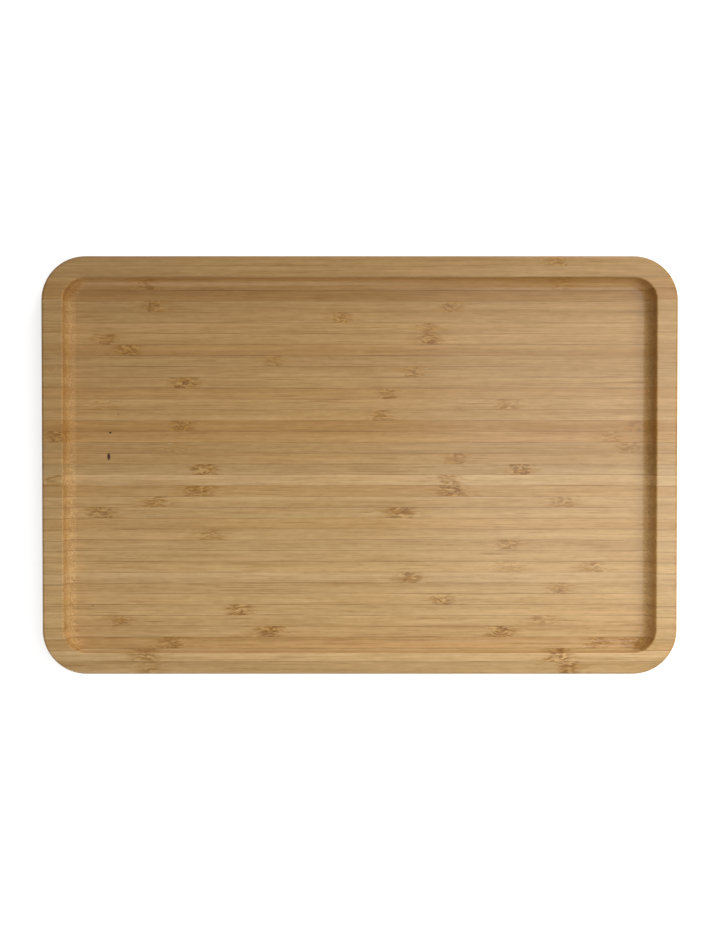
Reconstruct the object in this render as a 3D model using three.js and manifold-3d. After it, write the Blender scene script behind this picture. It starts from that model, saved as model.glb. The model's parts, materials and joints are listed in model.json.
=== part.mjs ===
// A bamboo serving tray, in millimetres, +Z up, with its origin at the centre of its underside.
//
// The tray is a board of bamboo strips, stood on edge and glued face to face, that is cut to its outline
// and milled: one shallow recess with coved sides, rounded edges, and a bevel under the rim for the fingers.
// Every strip is its own piece. The strips run along X, and are counted from the back (+Y) to the front.
import * as THREE from "three";
import { mergeVertices } from "three/addons/utils/BufferGeometryUtils.js";
import Module from "manifold-3d";

// The board
const LENGTH = 380;
const THICKNESS = 18;
const STRIP_THICKNESS = 6.56; // an inner strip, from glue line to glue line
const INNER_STRIPS = 36;
const BACK_EDGE_STRIP = 6.1;
const FRONT_EDGE_STRIP = 7.74;

// Its outline and edges
const CORNER_RADIUS = 26.5;
const TOP_EDGE_ROUND = 2;
const FINGER_BEVEL = 5; // 45 degrees, along the underside

// The recess
const RIM_WIDTH = 13; // from the outer side to the recess's wall
const RECESS_DEPTH = 10;
const COVE_RADIUS = 6; // where the wall turns into the floor
const RECESS_EDGE_EASE = 1; // 45 degrees, where the wall meets the top of the rim

// How finely the round stretches are cut into flats
const CORNER_STEPS = 12;
const ROUND_STEPS = 3;
const COVE_STEPS = 6;

// Bamboo tones, and the tone of each strip from the back to the front
const TONES = {
  pale: "#cdae82",
  straw: "#c8a779",
  honey: "#c4a272",
  tan: "#bd9968",
  amber: "#b08856",
};
const STRIP_TONES = [
  "honey", "honey", "tan", "amber", "honey", "honey", "honey", "honey", "tan", "honey",
  "honey", "honey", "tan", "honey", "honey", "amber", "tan", "honey", "honey", "straw",
  "pale", "honey", "straw", "straw", "honey", "straw", "straw", "straw", "straw", "pale",
  "straw", "straw", "straw", "straw", "straw", "honey", "pale", "straw",
];

const WIDTH = BACK_EDGE_STRIP + INNER_STRIPS * STRIP_THICKNESS + FRONT_EDGE_STRIP;
const BACK = WIDTH / 2;
const FLOOR_HEIGHT = THICKNESS - RECESS_DEPTH;
const OVERCUT = 5; // how far a cutter runs past the face that it opens

const wasm = await Module();
wasm.setup();

function solid(geometry) {
  geometry.deleteAttribute("normal");
  geometry.deleteAttribute("uv");
  const merged = mergeVertices(geometry);
  return new wasm.Manifold(
    new wasm.Mesh({
      numProp: 3,
      vertProperties: merged.attributes.position.array,
      triVerts: new Uint32Array(merged.index.array),
    }),
  );
}

function geometryOf(manifold) {
  const mesh = manifold.getMesh();
  return new THREE.BufferGeometry()
    .setAttribute("position", new THREE.BufferAttribute(mesh.vertProperties, 3))
    .setIndex(new THREE.BufferAttribute(mesh.triVerts, 1))
    .toNonIndexed();
}

// The tray's outline, moved in by an inset. The corners stay on the same centres.
function outline(inset) {
  const halfLength = LENGTH / 2 - inset;
  const halfWidth = WIDTH / 2 - inset;
  const radius = CORNER_RADIUS - inset;
  const [x, y] = [halfLength - radius, halfWidth - radius];
  return new THREE.Shape()
    .absarc(x, y, radius, 0, Math.PI / 2)
    .absarc(-x, y, radius, Math.PI / 2, Math.PI)
    .absarc(-x, -y, radius, Math.PI, 1.5 * Math.PI)
    .absarc(x, -y, radius, 1.5 * Math.PI, 2 * Math.PI);
}

// The outline as a plate from bottom to top, whose lower and upper edges lose the same bevel, round or flat.
function plate(inset, bottom, top, bevel, steps) {
  return solid(
    new THREE.ExtrudeGeometry(outline(inset), {
      depth: top - bottom - 2 * bevel,
      curveSegments: CORNER_STEPS,
      bevelThickness: bevel,
      bevelSize: bevel,
      bevelOffset: -bevel,
      bevelSegments: steps,
    }).translate(0, 0, bottom + bevel),
  );
}

// The board's outer shape: rounded along the top edge and bevelled along the underside.
function blank() {
  const rounded = plate(0, -OVERCUT, THICKNESS, TOP_EDGE_ROUND, ROUND_STEPS);
  const bevelled = plate(0, 0, THICKNESS + FINGER_BEVEL + OVERCUT, FINGER_BEVEL, 1);
  return rounded.intersect(bevelled);
}

// What the milling takes out: the coved recess, and the easing along its upper edge.
function recess() {
  const top = THICKNESS + COVE_RADIUS + OVERCUT;
  const cove = plate(RIM_WIDTH, FLOOR_HEIGHT, top, COVE_RADIUS, COVE_STEPS);
  const easeBottom = THICKNESS - RECESS_EDGE_EASE;
  const ease = plate(RIM_WIDTH - RECESS_EDGE_EASE, easeBottom, top, RECESS_EDGE_EASE, 1);
  return cove.add(ease);
}

// Everything between two glue lines. Neighbours use the same line, so their faces lie in one plane.
function slab(back, front) {
  const half = LENGTH / 2 + OVERCUT;
  const section = new THREE.Shape()
    .moveTo(-half, front)
    .lineTo(half, front)
    .lineTo(half, back)
    .lineTo(-half, back);
  return solid(
    new THREE.ExtrudeGeometry(section, {
      depth: THICKNESS + 2 * OVERCUT,
      bevelEnabled: false,
    }).translate(0, 0, -OVERCUT),
  );
}

// The y of each glue line and of the two outer sides, from the back to the front.
function glueLines() {
  const inner = Array.from(
    { length: INNER_STRIPS + 1 },
    (_, i) => BACK - BACK_EDGE_STRIP - i * STRIP_THICKNESS,
  );
  return [BACK + OVERCUT, ...inner, -BACK - OVERCUT];
}

function stripName(index) {
  if (index === 0) return "back_edge_strip";
  if (index > INNER_STRIPS) return "front_edge_strip";
  return "strip_" + String(index).padStart(2, "0");
}

const materials = Object.fromEntries(
  Object.entries(TONES).map(([tone, color]) => [
    tone,
    new THREE.MeshStandardMaterial({ color, roughness: 0.42, metalness: 0 }),
  ]),
);

const tray = new THREE.Group();
const board = blank().subtract(recess());
const lines = glueLines();
for (let i = 0; i < lines.length - 1; i++) {
  const strip = board.intersect(slab(lines[i], lines[i + 1]));
  const tone = STRIP_TONES[i % STRIP_TONES.length];
  const mesh = new THREE.Mesh(geometryOf(strip), materials[tone]);
  mesh.name = stripName(i);
  tray.add(mesh);
}

export default tray;
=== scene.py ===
"""A bamboo serving tray: strips glued side by side, milled with one coved recess and varnished.

The tray is shaped whole, as it would be on a router, and is then cut along its glue lines, so that
each strip is a piece of its own. Lengths are in millimetres until they reach Blender, which works
in metres. X runs along the strips, Y points to the back of the tray, and Z points up.
"""

import json
import math

import bmesh
import bpy
from bpy.props import FloatProperty, FloatVectorProperty, PointerProperty
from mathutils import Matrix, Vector


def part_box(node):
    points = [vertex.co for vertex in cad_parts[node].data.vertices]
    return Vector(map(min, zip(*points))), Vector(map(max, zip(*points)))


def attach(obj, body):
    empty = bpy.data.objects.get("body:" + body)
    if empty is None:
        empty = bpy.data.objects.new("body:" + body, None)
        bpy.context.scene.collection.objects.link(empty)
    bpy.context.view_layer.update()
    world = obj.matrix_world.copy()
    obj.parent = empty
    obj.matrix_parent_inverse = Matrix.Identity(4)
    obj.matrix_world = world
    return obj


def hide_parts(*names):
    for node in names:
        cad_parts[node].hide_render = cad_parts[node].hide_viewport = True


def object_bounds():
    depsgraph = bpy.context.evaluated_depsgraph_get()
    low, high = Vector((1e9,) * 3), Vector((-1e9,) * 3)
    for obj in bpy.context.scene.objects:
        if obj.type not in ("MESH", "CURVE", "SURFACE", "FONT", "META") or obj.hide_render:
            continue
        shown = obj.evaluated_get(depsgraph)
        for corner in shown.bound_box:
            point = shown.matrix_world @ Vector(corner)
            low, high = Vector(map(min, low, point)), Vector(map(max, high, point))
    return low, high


bl_info = {
    "name": "Bamboo Serving Tray",
    "version": (1, 0, 0),
    "blender": (4, 5, 0),
    "location": "View3D > Sidebar > Tray",
    "description": "Builds a varnished serving tray of glued bamboo strips, in a plain studio",
    "category": "Add Mesh",
}

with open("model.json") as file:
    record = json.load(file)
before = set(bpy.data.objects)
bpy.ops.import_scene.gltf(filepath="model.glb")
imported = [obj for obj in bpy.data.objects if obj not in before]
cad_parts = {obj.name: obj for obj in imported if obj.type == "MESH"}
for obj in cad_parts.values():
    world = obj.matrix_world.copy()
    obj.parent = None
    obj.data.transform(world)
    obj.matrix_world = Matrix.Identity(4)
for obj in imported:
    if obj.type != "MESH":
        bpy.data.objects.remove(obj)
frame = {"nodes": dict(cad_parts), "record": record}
cad_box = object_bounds()

MM = 0.001
LOW, HIGH = (Vector(corner) for corner in cad_box)
LENGTH, WIDTH, THICKNESS = (HIGH - LOW) / MM
SLOTS = {part["node"]: part["material_slot"] for part in frame["record"]["subparts"]}
STRIPS = sorted(frame["nodes"], key=lambda node: -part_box(node)[1].y)


# ------------------------------------------------------------------------------
# What each strip is like. Places along a strip are in millimetres from the tray's middle.

# How much lighter or darker a strip is than the tone of its material slot, and on which side the
# culm's skin was, where the fibres lie closest: 1 is the strip's back face and -1 its front face.
# The lighter or darker share is partly the strip's own tone and partly painted light: the strips
# are darker towards the back of the tray and lighter towards the front, where the light was
# stronger, and the strips along the front are lightened most, which paints light on the front wall.
STRIP_TONE_PAINTED_LIGHT_AND_SKIN = {
    "back_edge_strip": (0.80, 1),
    "strip_01": (0.80, -1),
    "strip_02": (0.90, -1),
    "strip_03": (0.90, 1),
    "strip_04": (0.85, -1),
    "strip_05": (0.85, 1),
    "strip_06": (0.90, -1),
    "strip_07": (0.90, -1),
    "strip_08": (0.90, -1),
    "strip_09": (0.85, 1),
    "strip_10": (0.85, 1),
    "strip_11": (0.90, -1),
    "strip_12": (0.95, 1),
    "strip_13": (0.95, -1),
    "strip_14": (0.95, 1),
    "strip_15": (1.00, -1),
    "strip_16": (1.00, 1),
    "strip_17": (0.90, -1),
    "strip_18": (0.95, 1),
    "strip_19": (0.90, 1),
    "strip_20": (1.05, -1),
    "strip_21": (1.00, 1),
    "strip_22": (1.00, -1),
    "strip_23": (1.00, 1),
    "strip_24": (1.05, -1),
    "strip_25": (1.05, 1),
    "strip_26": (1.00, 1),
    "strip_27": (1.05, -1),
    "strip_28": (1.10, 1),
    "strip_29": (1.05, -1),
    "strip_30": (1.05, 1),
    "strip_31": (1.10, -1),
    "strip_32": (1.10, 1),
    "strip_33": (1.10, -1),
    "strip_34": (1.10, 1),
    "strip_35": (1.10, 1),
    "strip_36": (1.15, -1),
    "front_edge_strip": (1.00, 1),
}

# Knuckles, where a joint of the culm crosses a strip: place, length, and how strongly it is marked.
# A negative mark is a pale knuckle.
KNUCKLES = {
    "back_edge_strip": ((117, 5, 0.7),),
    "strip_02": ((-128, 5, 0.7), (121, 5, 0.5)),
    "strip_04": ((-125, 5, 0.8), (56, 5, 0.7)),
    "strip_05": ((-11, 4, 0.8),),
    "strip_06": ((41, 5, 0.5),),
    "strip_07": ((-154, 5, 0.8), (42, 5, 0.9)),
    "strip_08": ((-140, 6, 1.0),),
    "strip_09": ((-52, 4, 0.5),),
    "strip_10": ((33, 5, 0.7), (-182, 4, -0.6)),
    "strip_11": ((-106, 6, 1.0),),
    "strip_12": ((17, 4, 0.9),),
    "strip_13": ((-155, 5, -0.8), (90, 5, 0.6)),
    "strip_14": ((13, 5, 0.6),),
    "strip_15": ((-108, 6, 0.7), (168, 5, 0.6)),
    "strip_16": ((153, 5, 0.6), (-181, 5, 0.8)),
    "strip_17": ((-112, 5, -0.6), (163, 5, 0.6)),
    "strip_18": ((59, 5, 0.6),),
    "strip_19": ((-94, 6, 1.0), (97, 6, 1.0)),
    "strip_20": ((53, 5, 0.6), (-184, 4, 0.5)),
    "strip_21": ((55, 7, 1.0), (-97, 7, 0.8)),
    "strip_22": ((-125, 5, 0.5), (123, 5, 0.5)),
    "strip_23": ((-157, 6, 0.7), (25, 7, 0.8)),
    "strip_25": ((-91, 5, 0.5),),
    "strip_26": ((90, 5, 0.6),),
    "strip_28": ((91, 5, -0.6), (140, 5, 0.4)),
    "strip_29": ((30, 5, 0.7),),
    "strip_30": ((122, 4, 0.6),),
    "strip_31": ((50, 5, 0.7),),
    "strip_32": ((-73, 5, 0.9),),
    "strip_33": ((-144, 5, 0.4), (110, 5, 0.4)),
    "strip_34": ((86, 6, 1.0), (-55, 6, 0.8)),
    "strip_35": ((-114, 6, 0.7), (145, 5, 0.6), (165, 5, 0.6)),
    "strip_36": ((-129, 6, 0.5), (119, 6, 0.9)),
    "front_edge_strip": ((-125, 5, 0.5), (125, 5, 0.8)),
}

# Pits, where the planer lifted a fibre: place along the strip, place towards the tray's back,
# length and width.
PITS = {
    "strip_14": ((-146, 31, 0.6, 0.5),),
    "strip_16": ((-151, 19.8, 1.6, 1.0),),
    "strip_18": ((-152, 5.3, 1.8, 4.2),),
    "strip_32": ((-162, -85, 0.7, 0.5),),
}


# ------------------------------------------------------------------------------
# Settings


class TrayShape(bpy.types.PropertyGroup):
    """The tray's milled shape"""

    corner_radius: FloatProperty(
        name="Corner Radius",
        description="Radius of the outline's four corners, in millimetres",
        default=26.5,
        min=14,
    )
    rim_width: FloatProperty(
        name="Rim Width",
        description="From the outer side to the recess's wall, in millimetres",
        default=13,
        min=4,
    )
    recess_depth: FloatProperty(
        name="Recess Depth",
        description="From the rim down to the floor, in millimetres",
        default=10,
        min=2,
    )
    cove_radius: FloatProperty(
        name="Cove Radius",
        description="Where the recess's wall turns into its floor, in millimetres",
        default=6,
        min=0.5,
    )
    top_round: FloatProperty(
        name="Top Edge",
        description="Rounding of the rim's outer edge, in millimetres",
        default=2,
        min=0.2,
    )
    recess_round: FloatProperty(
        name="Recess Edge",
        description="Rounding of the edge between rim and recess, in millimetres",
        default=1,
        min=0.1,
    )
    finger_bevel: FloatProperty(
        name="Finger Bevel",
        description="Flat bevel along the underside, in millimetres",
        default=5,
        min=0.5,
    )


class BambooLook(bpy.types.PropertyGroup):
    """The colours and finish of the bamboo"""

    pale: FloatVectorProperty(
        name="Pale",
        description="The palest strips",
        default=(0.57, 0.37, 0.165),
        min=0,
        max=1,
        subtype="COLOR",
    )
    straw: FloatVectorProperty(
        name="Straw",
        description="Light strips",
        default=(0.54, 0.34, 0.14),
        min=0,
        max=1,
        subtype="COLOR",
    )
    honey: FloatVectorProperty(
        name="Honey",
        description="Most strips",
        default=(0.51, 0.305, 0.115),
        min=0,
        max=1,
        subtype="COLOR",
    )
    tan: FloatVectorProperty(
        name="Tan",
        description="Darker strips",
        default=(0.475, 0.27, 0.095),
        min=0,
        max=1,
        subtype="COLOR",
    )
    amber: FloatVectorProperty(
        name="Amber",
        description="The darkest strips",
        default=(0.43, 0.235, 0.075),
        min=0,
        max=1,
        subtype="COLOR",
    )
    fibre: FloatVectorProperty(
        name="Fibre",
        description="Threads of dense fibre",
        default=(0.24, 0.105, 0.022),
        min=0,
        max=1,
        subtype="COLOR",
    )
    knuckle: FloatVectorProperty(
        name="Knuckle",
        description="The stain round a knuckle",
        default=(0.42, 0.21, 0.045),
        min=0,
        max=1,
        subtype="COLOR",
    )
    glue: FloatVectorProperty(
        name="Glue Line",
        description="The glue between strips",
        default=(0.15, 0.065, 0.018),
        min=0,
        max=1,
        subtype="COLOR",
    )
    glue_width: FloatProperty(
        name="Glue Line Width",
        description="How far a glue line shows into each strip, in millimetres",
        default=0.32,
        min=0.02,
    )
    varnish_gloss: FloatProperty(
        name="Varnish Gloss",
        description="How much of the gloss is the clear top film of the varnish",
        default=0.25,
        min=0,
        max=1,
        subtype="FACTOR",
    )
    varnish_roughness: FloatProperty(
        name="Varnish Roughness",
        description="How dull that top film is",
        default=0.20,
        min=0,
        max=1,
        subtype="FACTOR",
    )


class Studio(bpy.types.PropertyGroup):
    """The camera and the light"""

    camera_height: FloatProperty(
        name="Camera Height",
        description="Above the floor",
        default=0.6623,
        min=0.3,
        unit="LENGTH",
    )
    camera_back: FloatProperty(
        name="Camera Back",
        description="How far it hangs towards the back of the tray",
        default=0.009,
        unit="LENGTH",
    )
    window_power: FloatProperty(
        name="Window",
        description="Power of the light on the right",
        default=2.2,
        min=0,
        unit="POWER",
    )
    ceiling_power: FloatProperty(
        name="Ceiling",
        description="Power of the light overhead on the right",
        default=3.2,
        min=0,
        unit="POWER",
    )
    back_power: FloatProperty(
        name="Back",
        description="Power of the light behind the tray on the right",
        default=3.1,
        min=0,
        unit="POWER",
    )
    front_power: FloatProperty(
        name="Front",
        description="Power of the light in front of the tray",
        default=2.7,
        min=0,
        unit="POWER",
    )
    room_light: FloatProperty(
        name="Room",
        description="Strength of the even light from all round",
        default=0.14,
        min=0,
    )


# ------------------------------------------------------------------------------
# Shape

# Steps in a quarter turn of each round edge
CORNER_STEPS = 24
COVE_STEPS = 12
TOP_EDGE_STEPS = 6
RECESS_EDGE_STEPS = 4
SANDED_STEPS = 3

SANDED_EDGE = 0.6  # how far the two edges of the finger bevel are sanded back
SAME_HEIGHT = 0.0001
NEARLY_THE_RIM = 0.9  # the share of the rim's width that tells the outer side from the recess
SHARP_EDGE = math.radians(40)


def outer_side(point, shape):
    """Whether a point of the blank lies on its outer side, and not on the recess."""
    reach = NEARLY_THE_RIM * shape.rim_width
    return abs(point.x) > LENGTH / 2 - reach or abs(point.y) > WIDTH / 2 - reach


def ring(bm, height, shape, outer):
    """The edges of a level ring at a height, round the tray's outer side or round its recess."""
    level = [e for e in bm.edges if all(abs(v.co.z - height) < SAME_HEIGHT for v in e.verts)]
    return [e for e in level if all(outer_side(v.co, shape) == outer for v in e.verts)]


def round_edges(bm, edges, offset, segments):
    """Rounds edges, or with one segment cuts them off flat."""
    bmesh.ops.bevel(
        bm,
        geom=edges,
        offset=offset,
        offset_type="OFFSET",
        segments=segments,
        profile=0.5,
        affect="EDGES",
        material=-1,
    )


def raise_face(bm, face, height):
    """Extrudes one face along Z and returns its moved copy. The face itself stays where it was."""
    made = bmesh.ops.extrude_face_region(bm, geom=[face])["geom"]
    verts = [g for g in made if isinstance(g, bmesh.types.BMVert)]
    bmesh.ops.translate(bm, verts=verts, vec=(0, 0, height))
    return next(g for g in made if isinstance(g, bmesh.types.BMFace))


def tray_blank(shape):
    """The whole tray as a bmesh, in millimetres."""
    bm = bmesh.new()
    bmesh.ops.create_grid(bm, x_segments=1, y_segments=1, size=0.5)
    bmesh.ops.scale(bm, vec=(LENGTH, WIDTH, 1), verts=bm.verts)
    bmesh.ops.bevel(
        bm,
        geom=bm.verts[:],
        offset=shape.corner_radius,
        segments=CORNER_STEPS,
        profile=0.5,
        affect="VERTICES",
        material=-1,
    )
    bm.faces.ensure_lookup_table()
    top = raise_face(bm, bm.faces[0], THICKNESS)
    bmesh.ops.inset_region(bm, faces=[top], thickness=shape.rim_width, use_even_offset=True)
    raise_face(bm, top, -shape.recess_depth)
    bmesh.ops.delete(bm, geom=[top], context="FACES_ONLY")
    bmesh.ops.recalc_face_normals(bm, faces=bm.faces[:])

    floor = THICKNESS - shape.recess_depth
    round_edges(bm, ring(bm, floor, shape, False), shape.cove_radius, COVE_STEPS)
    round_edges(bm, ring(bm, THICKNESS, shape, False), shape.recess_round, RECESS_EDGE_STEPS)
    round_edges(bm, ring(bm, THICKNESS, shape, True), shape.top_round, TOP_EDGE_STEPS)
    round_edges(bm, ring(bm, 0, shape, True), shape.finger_bevel, 1)
    for height in (0, shape.finger_bevel):
        round_edges(bm, ring(bm, height, shape, True), SANDED_EDGE, SANDED_STEPS)
    return bm


def saw(bm, place, side):
    """Cuts a bmesh across Y, keeps what lies on one side of the cut, and closes it."""
    cut = bmesh.ops.bisect_plane(
        bm,
        geom=bm.verts[:] + bm.edges[:] + bm.faces[:],
        plane_co=(0, place, 0),
        plane_no=(0, -side, 0),
        clear_outer=True,
    )["geom_cut"]
    bmesh.ops.holes_fill(bm, edges=[g for g in cut if isinstance(g, bmesh.types.BMEdge)])


def strip_piece(blank, node):
    """One strip, sawn from a copy of the blank between its two glue lines."""
    low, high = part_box(node)
    bm = blank.copy()
    if node != STRIPS[0]:
        saw(bm, high.y / MM, -1)
    if node != STRIPS[-1]:
        saw(bm, low.y / MM, 1)
    bmesh.ops.recalc_face_normals(bm, faces=bm.faces[:])
    bmesh.ops.scale(bm, vec=(MM, MM, MM), verts=bm.verts)
    mesh = bpy.data.meshes.new(node + "_bamboo")
    bm.to_mesh(mesh)
    bm.free()
    mesh.shade_smooth()
    mesh.set_sharp_from_angle(angle=SHARP_EDGE)
    piece = bpy.data.objects.new(node + "_bamboo", mesh)
    bpy.context.scene.collection.objects.link(piece)
    normals = piece.modifiers.new("Flat faces stay flat", "WEIGHTED_NORMAL")
    normals.keep_sharp = True
    normals.weight = 100
    return piece


# ------------------------------------------------------------------------------
# Shader groups


# How fine each pattern is: lumps per millimetre along a strip, across it and up through it.
GRAIN = {
    "waver": (0.011, 0.05, 0.05),
    "swirl": (0.16, 0.30, 0.30),
    "band": (0.008, 0.30, 0.30),
    "fibres": (0.034, 1.25, 1.25),
    "mottle": (0.14, 0.40, 0.40),
    "threads": (0.026, 1.7, 1.7),
    "ticks": (0.14, 2.2, 2.2),
    "bundles": (0.008, 1.25, 1.25),
    "stipple": (1.1, 1.5, 1.5),
    "drift": (0.012, 0.16, 0.16),
    "ragged knuckle": (0.18, 0.90, 0.90),
    "streaks": (0.07, 0.75, 0.75),
    "strokes": (0.22, 0.85, 0.85),
    "glue strength": (0.017, 1.0, 1.0),
    "glue waver": (0.35, 1.0, 1.0),
    "ragged pit": (1.2, 1.2, 1.2),
    "ripple": (0.12, 0.35, 0.35),
    "smear": (0.02, 0.05, 0.05),
}

# How much each pattern lightens and darkens the wood
FIBRE_CONTRAST = 0.62
BAND_CONTRAST = 0.42
MOTTLE_CONTRAST = 0.36
SKIN_CONTRAST = -0.10
STIPPLE_CONTRAST = 1.4
LIFT = 0.03  # makes up for the dark threads

# How far each pattern goes towards the colour that it brings
THREAD_AMOUNT = 0.44
TICK_AMOUNT = 0.34
BUNDLE_AMOUNT = 0.14
BUNDLE_AMOUNT_AT_ENDS = 0.22  # more, where the ends of the fibres lie open
STAIN_AMOUNT = 0.45
TAIL_AMOUNT = 0.6
DARK_STROKE_AMOUNT = 0.85
PALE_STROKE_AMOUNT = 0.75

# Tints that multiply the tone
SOAKED_TINT = (1.0, 0.97, 0.91, 1)
REDDER_TINT = (1.015, 0.99, 0.975, 1)
PALE_STROKE_TINT = (1.25, 1.25, 1.20, 1)

# Each strip reads the patterns this far from the one before, in millimetres
SEED_STEP = (53.0, 3.7, 5.3)
GLUE_STEP = 13.0

# How far the fibres stray from a straight line, in millimetres, along a strip and round a knuckle,
# and what share of that they stray upwards
WAVER_REACH = 1.0
SWIRL_REACH = 2.2
UPWARD_SHARE = 0.7

# How far a knuckle's ends stray, in millimetres, and how far its core and its bent fibres fade out,
# in lengths of the knuckle
KNUCKLE_RAGGED = 5.5
FULL_KNUCKLE = 0.4
CORE_REACH = 1.8
BEND_REACH = 3.6

PIT_RAGGED = 0.4
FAINTEST_GLUE = 0.30

# The varnish's roughness where it lies smooth and where it is smeared, and what else changes it
SMOOTH_VARNISH, SMEARED_VARNISH = 0.30, 0.38
DENSE_DULLS = 0.15
ENDS_DULL = 0.25
ENDS_LOSE_FILM = -0.8
RIPPLE_HEIGHT = 0.35


class Nodes:
    """Adds nodes to a tree. A socket given for an input is linked, and a plain value is set."""

    def __init__(self, tree):
        self.tree = tree

    def add(self, kind, inputs=(), **settings):
        node = self.tree.nodes.new(kind)
        for name, value in settings.items():
            setattr(node, name, value)
        for key, value in dict(inputs).items():
            self.feed(node.inputs[key], value)
        return node

    def feed(self, socket, value):
        if isinstance(value, bpy.types.NodeSocket):
            self.tree.links.new(value, socket)
        elif value is not None:
            socket.default_value = value

    def math(self, operation, a, b=None, c=None, clamp=False):
        inputs = {0: a, 1: b, 2: c}
        return self.add("ShaderNodeMath", inputs, operation=operation, use_clamp=clamp).outputs[0]

    def spread(self, value, low, high, out_low=0.0, out_high=1.0):
        """A smooth ramp of a value between two ends, flat past them."""
        inputs = {
            "Value": value,
            "From Min": low,
            "From Max": high,
            "To Min": out_low,
            "To Max": out_high,
        }
        ramp = self.add("ShaderNodeMapRange", inputs, interpolation_type="SMOOTHSTEP")
        return ramp.outputs["Result"]

    def sway(self, level, pattern, amount):
        """A level that a pattern of 0 to 1 moves up and down, by an amount from end to end."""
        return self.math("MULTIPLY_ADD", self.math("SUBTRACT", pattern, 0.5), amount, level)

    def either_way(self, pattern, reach):
        """A pattern of 0 to 1, stretched to run from minus a reach to plus that reach."""
        return self.math("MULTIPLY_ADD", pattern, 2 * reach, -reach)

    def blend(self, amount, a, b, blend_type="MIX"):
        """A colour that goes from one to another by an amount of 0 to 1."""
        node = self.add("ShaderNodeMix", data_type="RGBA", blend_type=blend_type, clamp_factor=True)
        self.feed(node.inputs[0], amount)
        self.feed(node.inputs[6], a)
        self.feed(node.inputs[7], b)
        return node.outputs[2]

    def tint(self, color, by):
        return self.blend(1.0, color, by, "MULTIPLY")

    def place(self):
        """The place on the piece, in millimetres."""
        coords = self.add("ShaderNodeTexCoord").outputs["Object"]
        scaled = self.add("ShaderNodeVectorMath", {0: coords, "Scale": 1 / MM}, operation="SCALE")
        return scaled.outputs[0]

    def xyz(self, vector):
        return self.add("ShaderNodeSeparateXYZ", {0: vector}).outputs

    def vector(self, x, y, z):
        return self.add("ShaderNodeCombineXYZ", {0: x, 1: y, 2: z}).outputs[0]

    def times(self, vector, factors):
        inputs = {0: vector, 1: factors}
        return self.add("ShaderNodeVectorMath", inputs, operation="MULTIPLY").outputs[0]

    def plus(self, a, b):
        return self.add("ShaderNodeVectorMath", {0: a, 1: b}, operation="ADD").outputs[0]

    def noise(self, vector, pattern, detail=2.0, roughness=0.5, distortion=0.0):
        """Noise as fine as one of the patterns above."""
        inputs = {
            "Vector": self.times(vector, GRAIN[pattern]),
            "Scale": 1.0,
            "Detail": detail,
            "Roughness": roughness,
            "Distortion": distortion,
        }
        return self.add("ShaderNodeTexNoise", inputs).outputs["Fac"]


def new_group(name, inputs, outputs):
    """An empty shader group and its node helper, its inputs' sockets and its output node."""
    tree = bpy.data.node_groups.new(name, "ShaderNodeTree")
    for socket, (kind, default) in inputs.items():
        made = tree.interface.new_socket(socket, in_out="INPUT", socket_type="NodeSocket" + kind)
        made.default_value = default
    for socket, kind in outputs.items():
        tree.interface.new_socket(socket, in_out="OUTPUT", socket_type="NodeSocket" + kind)
    nodes = Nodes(tree)
    given = nodes.add("NodeGroupInput").outputs
    result = nodes.add("NodeGroupOutput").inputs
    return tree, nodes, given, result


def knuckle_group():
    """Where a knuckle lies on a strip: its core, and the longer stretch of fibre that it bends."""
    inputs = {"Along": ("Float", 0.0), "Length": ("Float", 5.0), "Mark": ("Float", 1.0)}
    tree, n, given, result = new_group("Bamboo Knuckle", inputs, {"Core": "Float", "Bend": "Float"})
    place = n.place()
    x = n.xyz(place)["X"]
    ragged = n.either_way(n.noise(place, "ragged knuckle"), KNUCKLE_RAGGED)
    away = n.math("ABSOLUTE", n.math("SUBTRACT", n.math("ADD", x, ragged), given["Along"]))
    lengths = n.math("DIVIDE", away, given["Length"])
    core = n.spread(lengths, CORE_REACH, FULL_KNUCKLE)
    n.feed(result["Core"], n.math("MULTIPLY", core, given["Mark"]))
    n.feed(result["Bend"], n.spread(lengths, BEND_REACH, FULL_KNUCKLE))
    return tree


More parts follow.
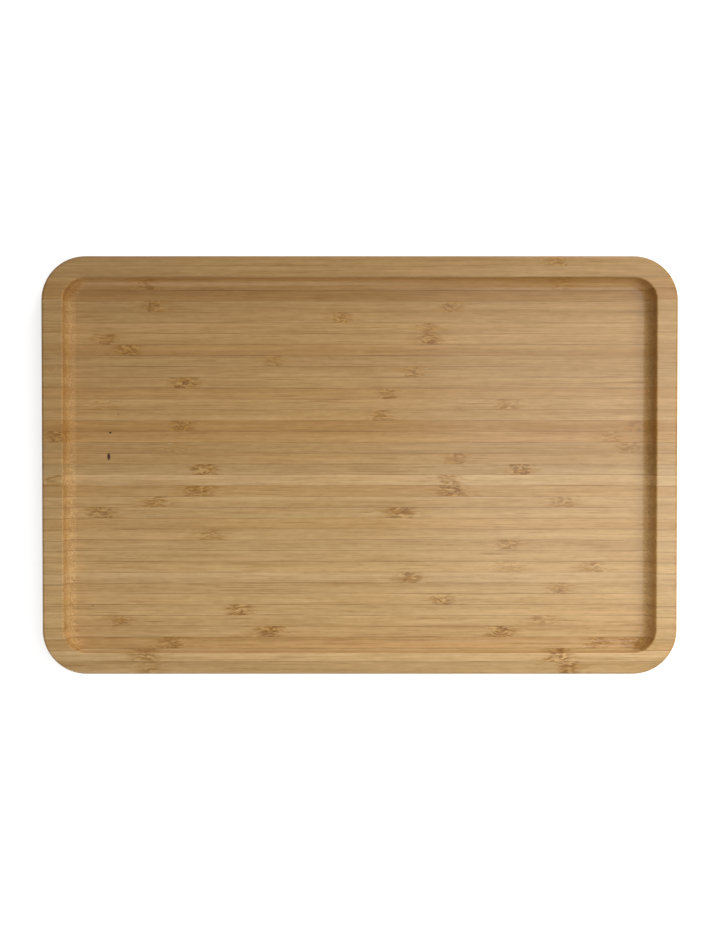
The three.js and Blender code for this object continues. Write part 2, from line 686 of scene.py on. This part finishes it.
def grain_group():
    """The colour of a strip: long fibres, dense threads towards the skin side, and knuckles."""
    inputs = {
        "Tone": ("Color", (0.5, 0.3, 0.13, 1)),
        "Fibre": ("Color", (0.23, 0.11, 0.04, 1)),
        "Knuckle": ("Color", (0.36, 0.18, 0.06, 1)),
        "Core": ("Float", 0.0),
        "Bend": ("Float", 0.0),
        "Ends": ("Float", 0.0),
        "Seed": ("Float", 0.0),
        "Skin Side": ("Float", 1.0),
        "Middle": ("Float", 0.0),
        "Thickness": ("Float", 6.5),
    }
    outputs = {"Color": "Color", "Height": "Float", "Dense": "Float"}
    tree, n, given, result = new_group("Bamboo Grain", inputs, outputs)
    place = n.place()
    seed = n.vector(given["Seed"], given["Seed"], given["Seed"])
    seeded = n.plus(place, n.times(seed, SEED_STEP))

    # Fibres waver along a strip, and swirl round a knuckle.
    waver = n.either_way(n.noise(seeded, "waver", 1.0), WAVER_REACH)
    swirl = n.either_way(n.noise(seeded, "swirl", 1.0), SWIRL_REACH)
    shift = n.math("MULTIPLY_ADD", swirl, given["Bend"], waver)
    upwards = n.math("MULTIPLY", shift, UPWARD_SHARE)
    bent = n.plus(seeded, n.vector(0.0, shift, upwards))

    band = n.noise(bent, "band", 1.0)
    fibres = n.noise(bent, "fibres", 2.0, 0.6)
    mottle = n.noise(bent, "mottle", 2.0, 0.6)
    threads = n.spread(n.noise(bent, "threads", 1.0), 0.62, 0.74)
    ticks = n.spread(n.noise(bent, "ticks", 1.0), 0.65, 0.78)

    # Bundles of fibre are dots across the grain and fine lines along it. They crowd to the skin.
    y = n.xyz(place)["Y"]
    across = n.math("DIVIDE", n.math("SUBTRACT", y, given["Middle"]), given["Thickness"])
    skin = n.math("MULTIPLY_ADD", across, given["Skin Side"], 0.5, clamp=True)
    cells = n.add(
        "ShaderNodeTexVoronoi",
        {"Vector": n.times(bent, GRAIN["bundles"]), "Scale": 1.0, "Randomness": 1.0},
        feature="F1",
    ).outputs["Distance"]
    reach = n.math("MULTIPLY_ADD", skin, 0.22, 0.12)
    bundle = n.spread(n.math("SUBTRACT", cells, reach), 0.10, -0.06)

    light = n.sway(LIFT, fibres, FIBRE_CONTRAST)
    light = n.sway(light, band, BAND_CONTRAST)
    light = n.sway(light, mottle, MOTTLE_CONTRAST)
    light = n.sway(light, skin, SKIN_CONTRAST)

    # Cut ends of fibre lie open, so they are stippled with pale and dark specks.
    stipple = n.noise(place, "stipple", 2.0, 0.7)
    rough_ends = n.math("MULTIPLY", n.math("SUBTRACT", stipple, 0.5), given["Ends"])
    light = n.math("MULTIPLY_ADD", rough_ends, STIPPLE_CONTRAST, light)

    # Where the wood is darker it is redder too.
    red = n.math("MULTIPLY_ADD", light, 0.80, 1.0)
    green = n.math("ADD", light, 1.0)
    blue = n.math("MULTIPLY_ADD", light, 1.45, 1.0)
    tone = n.tint(given["Tone"], n.vector(red, green, blue))

    # Open ends of fibres drink the varnish, which turns them a deeper orange.
    tone = n.blend(given["Ends"], tone, n.tint(tone, SOAKED_TINT))

    # A slow drift between a redder and a yellower tone.
    drift = n.spread(n.noise(bent, "drift", 1.0), 0.32, 0.68)
    tone = n.blend(drift, n.tint(tone, REDDER_TINT), tone)

    dots = n.math("MULTIPLY_ADD", given["Ends"], BUNDLE_AMOUNT_AT_ENDS, BUNDLE_AMOUNT)
    dense = n.math("MULTIPLY", threads, THREAD_AMOUNT)
    dense = n.math("MAXIMUM", dense, n.math("MULTIPLY", ticks, TICK_AMOUNT))
    dense = n.math("MAXIMUM", dense, n.math("MULTIPLY", bundle, dots))
    tone = n.blend(dense, tone, given["Fibre"])

    # Round a knuckle the strip is stained, in streaks that run out along it. In the knuckle the
    # fibres cross, and dark and pale strokes lie side by side.
    marked = n.math("MAXIMUM", given["Core"], 0.0)
    streaks = n.spread(n.noise(bent, "streaks", 1.0), 0.46, 0.64)
    tails = n.math("MULTIPLY", n.math("MULTIPLY", given["Bend"], streaks), TAIL_AMOUNT)
    stain = n.math("MULTIPLY_ADD", marked, STAIN_AMOUNT, tails, clamp=True)
    tone = n.blend(stain, tone, given["Knuckle"])
    strokes = n.noise(bent, "strokes", 1.0, 0.5, 0.5)
    dark = n.math("MULTIPLY", n.spread(strokes, 0.54, 0.40), marked)
    tone = n.blend(n.math("MULTIPLY", dark, DARK_STROKE_AMOUNT), tone, given["Fibre"])
    crossed = n.math("ABSOLUTE", given["Core"])
    pale = n.math("MULTIPLY", n.spread(strokes, 0.56, 0.66), crossed)
    lifted = n.tint(given["Tone"], PALE_STROKE_TINT)
    tone = n.blend(n.math("MULTIPLY", pale, PALE_STROKE_AMOUNT), tone, lifted)

    n.feed(result["Color"], tone)
    n.feed(result["Dense"], dense)
    raised = n.math("ADD", fibres, rough_ends)
    sunk = n.math("MULTIPLY", n.math("ADD", dense, dark), 0.5)
    n.feed(result["Height"], n.math("SUBTRACT", raised, sunk))
    return tree


def end_grain_group():
    """How far a surface cuts across the fibres: 0 along them, and 1 where their ends lie open."""
    tree, n, _, result = new_group("End Grain", {}, {"Ends": "Float"})
    facing = n.xyz(n.add("ShaderNodeTexCoord").outputs["Normal"])
    n.feed(result["Ends"], n.spread(n.math("ABSOLUTE", facing["X"]), 0.04, 0.45))
    return tree


def glue_group():
    """The glue lines on a strip's two faces. Each fades in and out, the same on both its strips."""
    inputs = {"Back": ("Float", 3.0), "Front": ("Float", -3.0), "Width": ("Float", 0.3)}
    tree, n, given, result = new_group("Glue Line", inputs, {"Line": "Float"})
    x, y, _ = n.xyz(n.place())
    to_back = n.math("SUBTRACT", given["Back"], y)
    to_front = n.math("SUBTRACT", y, given["Front"])
    nearer_back = n.math("LESS_THAN", to_back, to_front)
    plane = n.add("ShaderNodeMix", {0: nearer_back, 2: given["Front"], 3: given["Back"]}).outputs[0]
    spot = n.vector(x, n.math("MULTIPLY", plane, GLUE_STEP), 0.0)
    strength = n.noise(spot, "glue strength", 2.0, 0.6)
    strong = n.spread(strength, 0.38, 0.62, FAINTEST_GLUE, 1.0)
    waver = n.math("MULTIPLY_ADD", n.noise(spot, "glue waver", 1.0), 0.5, 0.7)
    width = n.math("MULTIPLY", given["Width"], waver)
    near = n.math("DIVIDE", n.math("MINIMUM", to_back, to_front), width)
    n.feed(result["Line"], n.math("MULTIPLY", n.spread(near, 1.0, 0.1), strong))
    return tree


def pit_group():
    """A small torn hole in the surface."""
    inputs = {
        "Along": ("Float", 0.0),
        "Across": ("Float", 0.0),
        "Length": ("Float", 1.0),
        "Width": ("Float", 1.0),
    }
    tree, n, given, result = new_group("Pit", inputs, {"Pit": "Float"})
    place = n.place()
    x, y, _ = n.xyz(place)
    ragged = n.either_way(n.noise(place, "ragged pit"), PIT_RAGGED)
    from_middle = n.math("ADD", n.math("SUBTRACT", x, given["Along"]), ragged)
    dx = n.math("DIVIDE", from_middle, given["Length"])
    dy = n.math("DIVIDE", n.math("SUBTRACT", y, given["Across"]), given["Width"])
    away = n.math("ADD", n.math("MULTIPLY", dx, dx), n.math("MULTIPLY", dy, dy))
    n.feed(result["Pit"], n.spread(away, 0.45, 0.08))
    return tree


def varnish_group():
    """The varnish: a faint ripple, and a duller film over dense fibre and open ends of fibre."""
    inputs = {
        "Gloss": ("Float", 0.25),
        "Dense": ("Float", 0.0),
        "Ends": ("Float", 0.0),
        "Height": ("Float", 0.0),
    }
    outputs = {"Gloss": "Float", "Roughness": "Float", "Height": "Float"}
    tree, n, given, result = new_group("Varnish", inputs, outputs)
    place = n.place()
    ripple = n.noise(place, "ripple")
    smear = n.spread(n.noise(place, "smear"), 0.3, 0.7, SMOOTH_VARNISH, SMEARED_VARNISH)
    dull = n.math("MULTIPLY_ADD", given["Dense"], DENSE_DULLS, smear)
    n.feed(result["Roughness"], n.math("MULTIPLY_ADD", given["Ends"], ENDS_DULL, dull))
    sealed = n.math("MULTIPLY_ADD", given["Ends"], ENDS_LOSE_FILM, 1.0)
    n.feed(result["Gloss"], n.math("MULTIPLY", given["Gloss"], sealed))
    n.feed(result["Height"], n.math("MULTIPLY_ADD", ripple, RIPPLE_HEIGHT, given["Height"]))
    return tree


GROUPS = {
    "Bamboo Knuckle": knuckle_group,
    "Bamboo Grain": grain_group,
    "End Grain": end_grain_group,
    "Glue Line": glue_group,
    "Pit": pit_group,
    "Varnish": varnish_group,
}


# ------------------------------------------------------------------------------
# Materials

OUT_OF_REACH = 50.0  # millimetres past a side where no glue line may show
GLUE_AMOUNT = 0.62
GLUE_DEPTH = -0.4
# A pit's near-black colour is painted shade: the hole is only a bump, and this colour darkens it as
# the shade inside a hole would.
PIT_PAINTED_SHADE = (0.075, 0.030, 0.010, 1)
PIT_DEPTH = -3.0
BUMP_STRENGTH = 0.5
BUMP_HEIGHT = 0.05 * MM

# The varnish that soaked in has only a faint gloss, and the film on top bends light as glass does.
SEAL_IOR = 1.4
SEAL_SPECULAR = 0.2
FILM_IOR = 1.5

FLOOR_PAINT = (0.8, 0.8, 0.8, 1)

# The floor's white glow, which is only seen and lights nothing: how strong it is near the tray and
# far off, and how far from the middle that is, in millimetres
GLOW_NEAR, GLOW_FAR = 0.65, 0.90
NEAR_THE_TRAY, FAR_OFF = 300.0, 1800.0


def place_group(nodes, name, inputs=()):
    """Places a shared group and returns its outputs. The group is built when it is first used."""
    tree = bpy.data.node_groups.get(name) or GROUPS[name]()
    node = nodes.add("ShaderNodeGroup", node_tree=tree)
    for key, value in dict(inputs).items():
        nodes.feed(node.inputs[key], value)
    return node.outputs


def new_material(name):
    """An empty material and its node helper."""
    material = bpy.data.materials.new(name)
    material.use_nodes = True
    material.node_tree.nodes.clear()
    return material, Nodes(material.node_tree)


def strip_tone(look, node):
    """A strip's colour: the tone of its material slot, a little lighter or darker, partly as its
    own tone and partly as painted light that darkens the tray's back and lightens its front.
    """
    tone = getattr(look, SLOTS[node].removeprefix("bamboo_"))
    # The shade is partly painted light: darker for strips at the tray's back, lighter at its front.
    shade = STRIP_TONE_PAINTED_LIGHT_AND_SKIN[node][0]
    return (*(channel * shade for channel in tone), 1)


def strip_material(look, node):
    """Varnished bamboo with the grain, knuckles and pits of one strip."""
    material, n = new_material("Bamboo " + node)
    low, high = (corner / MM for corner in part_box(node))
    core, bend = 0.0, 0.0
    for along, length, mark in KNUCKLES.get(node, ()):
        knuckle = place_group(n, "Bamboo Knuckle", {"Along": along, "Length": length, "Mark": mark})
        core = n.math("ADD", knuckle["Core"], core)
        bend = n.math("MAXIMUM", knuckle["Bend"], bend)
    ends = place_group(n, "End Grain")["Ends"]
    grain = place_group(
        n,
        "Bamboo Grain",
        {
            "Tone": strip_tone(look, node),
            "Fibre": (*look.fibre, 1),
            "Knuckle": (*look.knuckle, 1),
            "Ends": ends,
            "Core": core,
            "Bend": bend,
            "Seed": float(STRIPS.index(node)),
            "Skin Side": float(STRIP_TONE_PAINTED_LIGHT_AND_SKIN[node][1]),
            "Middle": (low.y + high.y) / 2,
            "Thickness": high.y - low.y,
        },
    )

    # The tray's long outer sides are planed wood with no glue on them.
    back = high.y + OUT_OF_REACH if node == STRIPS[0] else high.y
    front = low.y - OUT_OF_REACH if node == STRIPS[-1] else low.y
    glue = place_group(n, "Glue Line", {"Back": back, "Front": front, "Width": look.glue_width})
    amount = n.math("MULTIPLY", glue["Line"], GLUE_AMOUNT)
    color = n.blend(amount, grain["Color"], (*look.glue, 1))
    height = n.math("MULTIPLY_ADD", glue["Line"], GLUE_DEPTH, grain["Height"])
    for along, across, length, width in PITS.get(node, ()):
        inputs = {"Along": along, "Across": across, "Length": length, "Width": width}
        pit = place_group(n, "Pit", inputs)["Pit"]
        # Painted shade: the pit is darkened as the inside of a hole would be.
        color = n.blend(pit, color, PIT_PAINTED_SHADE)
        height = n.math("MULTIPLY_ADD", pit, PIT_DEPTH, height)

    varnish = place_group(
        n,
        "Varnish",
        {
            "Gloss": look.varnish_gloss,
            "Dense": grain["Dense"],
            "Ends": ends,
            "Height": height,
        },
    )
    bump = n.add(
        "ShaderNodeBump",
        {
            "Strength": BUMP_STRENGTH,
            "Distance": BUMP_HEIGHT,
            "Height": varnish["Height"],
        },
    )
    shader = n.add(
        "ShaderNodeBsdfPrincipled",
        {
            "Base Color": color,
            "Roughness": varnish["Roughness"],
            "Normal": bump.outputs["Normal"],
            "IOR": SEAL_IOR,
            "Specular IOR Level": SEAL_SPECULAR,
            "Coat Weight": varnish["Gloss"],
            "Coat Roughness": look.varnish_roughness,
            "Coat IOR": FILM_IOR,
        },
    )
    n.add("ShaderNodeOutputMaterial", {"Surface": shader.outputs["BSDF"]})
    return material


def seen_white(nodes):
    """1 for rays that see the backdrop, straight, in a gloss or through glass, and 0 for others."""
    rays = nodes.add("ShaderNodeLightPath").outputs
    seen = nodes.math("MAXIMUM", rays["Is Camera Ray"], rays["Is Glossy Ray"])
    return nodes.math("MAXIMUM", seen, rays["Is Transmission Ray"])


def floor_material():
    """A pale floor that looks white near the lamps and away from them, and keeps a shadow."""
    material, n = new_material("Studio floor")
    paint = n.add("ShaderNodeBsdfDiffuse", {"Color": FLOOR_PAINT}).outputs[0]
    away = n.add("ShaderNodeVectorMath", {0: n.place()}, operation="LENGTH").outputs["Value"]
    glow_here = n.spread(away, NEAR_THE_TRAY, FAR_OFF, GLOW_NEAR, GLOW_FAR)
    strength = n.math("MULTIPLY", seen_white(n), glow_here)
    glow = n.add("ShaderNodeEmission", {"Strength": strength}).outputs[0]
    both = n.add("ShaderNodeAddShader", {0: paint, 1: glow}).outputs[0]
    n.add("ShaderNodeOutputMaterial", {"Surface": both})
    return material


# ------------------------------------------------------------------------------
# Operators

FLOOR_REACH = 4  # metres to each side

# Each lamp's place, the place that it points at, and the side of its square, in metres
LAMPS = {
    "window": ((0.55, 0.02, 0.55), (0, 0, 0), 0.5),
    "ceiling": ((0.36, 0.00, 1.10), (0.36, 0, 0), 0.5),
    "back": ((0.40, 0.75, 0.50), (0, 0, 0), 0.4),
    "front": ((-0.25, -0.85, 0.50), (0, 0, 0), 0.9),
}

SENSOR_WIDTH = 36
LENS = 41.9
CLIP_START = 0.01
CAMERA_AIM = Vector((0.0002, 0.00095, HIGH.z))


def add_strips(context, nodes):
    """Builds the given strips, each riding on the tray's one body in place of its plain solid."""
    scene = context.scene
    blank = tray_blank(scene.tray_shape)
    for node in nodes:
        piece = strip_piece(blank, node)
        piece.data.materials.append(strip_material(scene.bamboo_look, node))
        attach(piece, "root")
        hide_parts(node)
    blank.free()


class TRAY_OT_edge_strips(bpy.types.Operator):
    """Build the two strips that form the tray's long outer sides"""

    bl_idname = "tray.edge_strips"
    bl_label = "Edge Strips"
    bl_options = {"REGISTER", "UNDO"}

    def execute(self, context):
        add_strips(context, (STRIPS[0], STRIPS[-1]))
        return {"FINISHED"}


class TRAY_OT_inner_strips(bpy.types.Operator):
    """Build all the strips between the two edge strips"""

    bl_idname = "tray.inner_strips"
    bl_label = "Inner Strips"
    bl_options = {"REGISTER", "UNDO"}

    def execute(self, context):
        add_strips(context, STRIPS[1:-1])
        return {"FINISHED"}


def add_light(name, place, aim, power, size):
    """A square soft light that points at a place on the tray."""
    lamp = bpy.data.lights.new(name, "AREA")
    lamp.energy = power
    lamp.size = size
    light = bpy.data.objects.new(name, lamp)
    light.location = place
    light.rotation_euler = (Vector(aim) - Vector(place)).to_track_quat("-Z", "Y").to_euler()
    bpy.context.scene.collection.objects.link(light)


class TRAY_OT_stage(bpy.types.Operator):
    """Build the white floor, the soft lights and the camera above the tray"""

    bl_idname = "tray.stage"
    bl_label = "Studio"
    bl_options = {"REGISTER", "UNDO"}

    def execute(self, context):
        self.add_floor(context)
        self.add_lights(context)
        self.add_camera(context)
        return {"FINISHED"}

    def add_floor(self, context):
        bm = bmesh.new()
        bmesh.ops.create_grid(bm, x_segments=1, y_segments=1, size=FLOOR_REACH)
        mesh = bpy.data.meshes.new("studio_floor")
        bm.to_mesh(mesh)
        bm.free()
        floor = bpy.data.objects.new("studio_floor", mesh)
        floor.data.materials.append(floor_material())
        context.scene.collection.objects.link(floor)

    def add_lights(self, context):
        studio = context.scene.tray_studio
        for name, (place, aim, size) in LAMPS.items():
            add_light(name, place, aim, getattr(studio, name + "_power"), size)
        world = bpy.data.worlds.new("Studio room")
        context.scene.world = world
        world.use_nodes = True
        world.node_tree.nodes.clear()
        n = Nodes(world.node_tree)
        strength = n.spread(seen_white(n), 0.0, 1.0, studio.room_light, 1.0)
        room = n.add("ShaderNodeBackground", {"Color": (1, 1, 1, 1), "Strength": strength})
        n.add("ShaderNodeOutputWorld", {"Surface": room.outputs[0]})

    def add_camera(self, context):
        studio = context.scene.tray_studio
        data = bpy.data.cameras.new("overhead_camera")
        data.sensor_width = SENSOR_WIDTH
        data.lens = LENS
        data.clip_start = CLIP_START
        camera = bpy.data.objects.new("overhead_camera", data)
        aim = CAMERA_AIM
        camera.location = (aim.x, aim.y + studio.camera_back, studio.camera_height)
        lean = math.atan2(studio.camera_back, studio.camera_height - aim.z)
        camera.rotation_euler = (-lean, 0, 0)
        context.scene.collection.objects.link(camera)
        context.scene.camera = camera
        context.scene.view_settings.view_transform = "Standard"


class TRAY_PT_panel(bpy.types.Panel):
    """The tray's settings and the buttons that build it"""

    bl_idname = "TRAY_PT_panel"
    bl_label = "Bamboo Serving Tray"
    bl_space_type = "VIEW_3D"
    bl_region_type = "UI"
    bl_category = "Tray"

    def draw(self, context):
        layout = self.layout
        scene = context.scene
        for settings in (scene.tray_shape, scene.bamboo_look, scene.tray_studio):
            box = layout.box()
            for prop in settings.bl_rna.properties:
                if prop.identifier not in {"rna_type", "name"}:
                    box.prop(settings, prop.identifier)
        for operator in (TRAY_OT_edge_strips, TRAY_OT_inner_strips, TRAY_OT_stage):
            layout.operator(operator.bl_idname)


CLASSES = (
    TrayShape,
    BambooLook,
    Studio,
    TRAY_OT_edge_strips,
    TRAY_OT_inner_strips,
    TRAY_OT_stage,
    TRAY_PT_panel,
)


def register():
    for cls in CLASSES:
        bpy.utils.register_class(cls)
    bpy.types.Scene.tray_shape = PointerProperty(type=TrayShape)
    bpy.types.Scene.bamboo_look = PointerProperty(type=BambooLook)
    bpy.types.Scene.tray_studio = PointerProperty(type=Studio)


def unregister():
    del bpy.types.Scene.tray_studio
    del bpy.types.Scene.bamboo_look
    del bpy.types.Scene.tray_shape
    for cls in reversed(CLASSES):
        bpy.utils.unregister_class(cls)


def main():
    register()
    bpy.ops.tray.edge_strips()
    bpy.ops.tray.inner_strips()
    bpy.ops.tray.stage()


if __name__ == "__main__":
    main()
